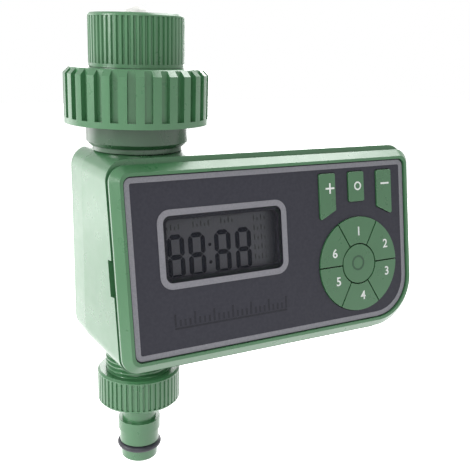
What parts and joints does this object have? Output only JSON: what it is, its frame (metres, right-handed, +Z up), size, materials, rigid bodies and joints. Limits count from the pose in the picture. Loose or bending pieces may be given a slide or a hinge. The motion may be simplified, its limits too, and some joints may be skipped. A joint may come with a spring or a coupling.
{
  "type": "drip irrigation timer",
  "caption": "Battery tap timer: ribbed inlet with strainer, motor-driven ball valve, boxed housing with a pull-off control face and keys, and a hose connector below.",
  "frame": {"origin": "middle of the inlet's rim", "axes": "+Z up along the inlet towards the tap, -Y out of the control side, +X along the housing"},
  "size_m": [0.1392, 0.0641, 0.1792],
  "materials": {
    "green_plastic": "satin moulded ABS",
    "face_print": "fine matt print on film, silver border",
    "clear_window": "clear tinted sheet",
    "display": "grey liquid crystal cell",
    "white_plastic": "natural moulded plastic",
    "black_rubber": "matt",
    "white_rubber": "matt silicone",
    "board_lacquer": "lacquered board",
    "switch_plastic": "matt",
    "cell_jacket": "printed jacket",
    "spring_steel": "nickel plated",
    "motor_can": "rolled steel",
    "screw_steel": "zinc plated"
  },
  "bodies": {
    "housing": {"rear_shell": "green_plastic", "front_shell": "green_plastic", "valve_body": "green_plastic", "outlet_spigot": "green_plastic", "ball_seats": "white_rubber", "stem_seal": "black_rubber", "swivel_clip": "white_plastic", "inlet_washer": "black_rubber", "gear_case": "white_plastic", "gear_cover": "white_plastic", "gear_pins": "spring_steel", "motor": "motor_can", "housing_screws": "screw_steel", "panel_gasket": "black_rubber"},
    "ball": {"valve_ball": "white_plastic", "ball_stem": "white_plastic", "stem_gear": "white_plastic"},
    "second_wheel": {"second_gear": "white_plastic"},
    "first_wheel": {"first_gear": "white_plastic"},
    "rotor": {"motor_pinion": "white_plastic", "motor_shaft": "spring_steel"},
    "swivel": {"swivel_nut": "green_plastic"},
    "tap_seal": {"reducer_washer": "black_rubber"},
    "tap_collar": {"reducer": "green_plastic"},
    "strainer": {"inlet_strainer": "white_plastic"},
    "hose_seal": {"outlet_washer": "black_rubber"},
    "connector": {"hose_connector": "green_plastic", "nozzle_ring": "black_rubber"},
    "module": {"module_frame": "green_plastic", "faceplate": "face_print", "display_window": "clear_window", "display_glass": "display", "display_strips": "black_rubber", "circuit_board": "board_lacquer", "key_switches": "switch_plastic", "battery_tray": "white_plastic", "battery_contacts": "spring_steel", "battery_springs": "spring_steel"},
    "upper_cell": {"upper_battery": "cell_jacket"},
    "lower_cell": {"lower_battery": "cell_jacket"},
    "plus_key": {"plus_key": "green_plastic"},
    "middle_key": {"middle_key": "green_plastic"},
    "minus_key": {"minus_key": "green_plastic"},
    "hub_key": {"hub_key": "green_plastic"},
    "sector_key_1": {"sector_key_1": "green_plastic"},
    "sector_key_2": {"sector_key_2": "green_plastic"},
    "sector_key_3": {"sector_key_3": "green_plastic"},
    "sector_key_4": {"sector_key_4": "green_plastic"},
    "sector_key_5": {"sector_key_5": "green_plastic"},
    "sector_key_6": {"sector_key_6": "green_plastic"}
  },
  "joints": [
    {"name": "valve_turn", "type": "hinge", "parent": "housing", "child": "ball", "pos_m": [0, 0, -0.086], "axis": [1, 0, 0], "range_deg": [0, 90]},
    {"name": "second_wheel_turn", "type": "hinge", "parent": "housing", "child": "second_wheel", "pos_m": [0.02, 0.0072, -0.07353], "axis": [1, 0, 0], "range_deg": [-270, 0]},
    {"name": "first_wheel_turn", "type": "hinge", "parent": "housing", "child": "first_wheel", "pos_m": [0.02, -0.00245, -0.06543], "axis": [1, 0, 0], "range_deg": [0, 864]},
    {"name": "motor_turn", "type": "hinge", "parent": "housing", "child": "rotor", "pos_m": [0.03, -0.00454, -0.07725], "axis": [1, 0, 0], "range_deg": [-2592, 0]},
    {"name": "swivel_turn", "type": "hinge", "parent": "housing", "child": "swivel", "pos_m": [0, 0, -0.03], "axis": [0, 0, 1], "continuous": true},
    {"name": "collar_rise", "type": "slide", "parent": "swivel", "child": "tap_seal", "axis": [0, 0, 1], "range_m": [0, 0.01]},
    {"name": "collar_turn", "type": "hinge", "parent": "tap_seal", "child": "tap_collar", "pos_m": [0, 0, -0.01], "axis": [0, 0, 1], "range_deg": [0, 1530]},
    {"name": "strainer_lift", "type": "slide", "parent": "tap_collar", "child": "strainer", "axis": [0, 0, 1], "range_m": [0, 0.03]},
    {"name": "connector_drop", "type": "slide", "parent": "housing", "child": "hose_seal", "axis": [0, 0, -1], "range_m": [0, 0.0091]},
    {"name": "connector_turn", "type": "hinge", "parent": "hose_seal", "child": "connector", "pos_m": [0, 0, -0.15], "axis": [0, 0, -1], "range_deg": [0, 1786]},
    {"name": "module_pull", "type": "slide", "parent": "housing", "child": "module", "axis": [0, -0.9854, 0.1702], "range_m": [0, 0.03]},
    {"name": "upper_cell_lift", "type": "slide", "parent": "module", "child": "upper_cell", "axis": [0, 0.9854, -0.1702], "range_m": [0, 0.012]},
    {"name": "lower_cell_lift", "type": "slide", "parent": "module", "child": "lower_cell", "axis": [0, 0.9854, -0.1702], "range_m": [0, 0.012]},
    {"name": "plus_press", "type": "slide", "parent": "module", "child": "plus_key", "axis": [0, 0.9854, -0.1702], "range_m": [0, 0.0008], "stiffness_N_per_m": 400},
    {"name": "middle_press", "type": "slide", "parent": "module", "child": "middle_key", "axis": [0, 0.9854, -0.1702], "range_m": [0, 0.0008], "stiffness_N_per_m": 400},
    {"name": "minus_press", "type": "slide", "parent": "module", "child": "minus_key", "axis": [0, 0.9854, -0.1702], "range_m": [0, 0.0008], "stiffness_N_per_m": 400},
    {"name": "hub_press", "type": "slide", "parent": "module", "child": "hub_key", "axis": [0, 0.9854, -0.1702], "range_m": [0, 0.0008], "stiffness_N_per_m": 400},
    {"name": "sector_1_press", "type": "slide", "parent": "module", "child": "sector_key_1", "axis": [0, 0.9854, -0.1702], "range_m": [0, 0.0008], "stiffness_N_per_m": 400},
    {"name": "sector_2_press", "type": "slide", "parent": "module", "child": "sector_key_2", "axis": [0, 0.9854, -0.1702], "range_m": [0, 0.0008], "stiffness_N_per_m": 400},
    {"name": "sector_3_press", "type": "slide", "parent": "module", "child": "sector_key_3", "axis": [0, 0.9854, -0.1702], "range_m": [0, 0.0008], "stiffness_N_per_m": 400},
    {"name": "sector_4_press", "type": "slide", "parent": "module", "child": "sector_key_4", "axis": [0, 0.9854, -0.1702], "range_m": [0, 0.0008], "stiffness_N_per_m": 400},
    {"name": "sector_5_press", "type": "slide", "parent": "module", "child": "sector_key_5", "axis": [0, 0.9854, -0.1702], "range_m": [0, 0.0008], "stiffness_N_per_m": 400},
    {"name": "sector_6_press", "type": "slide", "parent": "module", "child": "sector_key_6", "axis": [0, 0.9854, -0.1702], "range_m": [0, 0.0008], "stiffness_N_per_m": 400}
  ],
  "couplings": [
    {"joint": "second_wheel_turn", "follows": "valve_turn", "ratio": -3},
    {"joint": "first_wheel_turn", "follows": "valve_turn", "ratio": 9.6},
    {"joint": "motor_turn", "follows": "valve_turn", "ratio": -28.8},
    {"joint": "collar_rise", "follows": "collar_turn", "m_per_rad": 0.00036749},
    {"joint": "connector_drop", "follows": "connector_turn", "m_per_rad": 0.00028871}
  ]
}
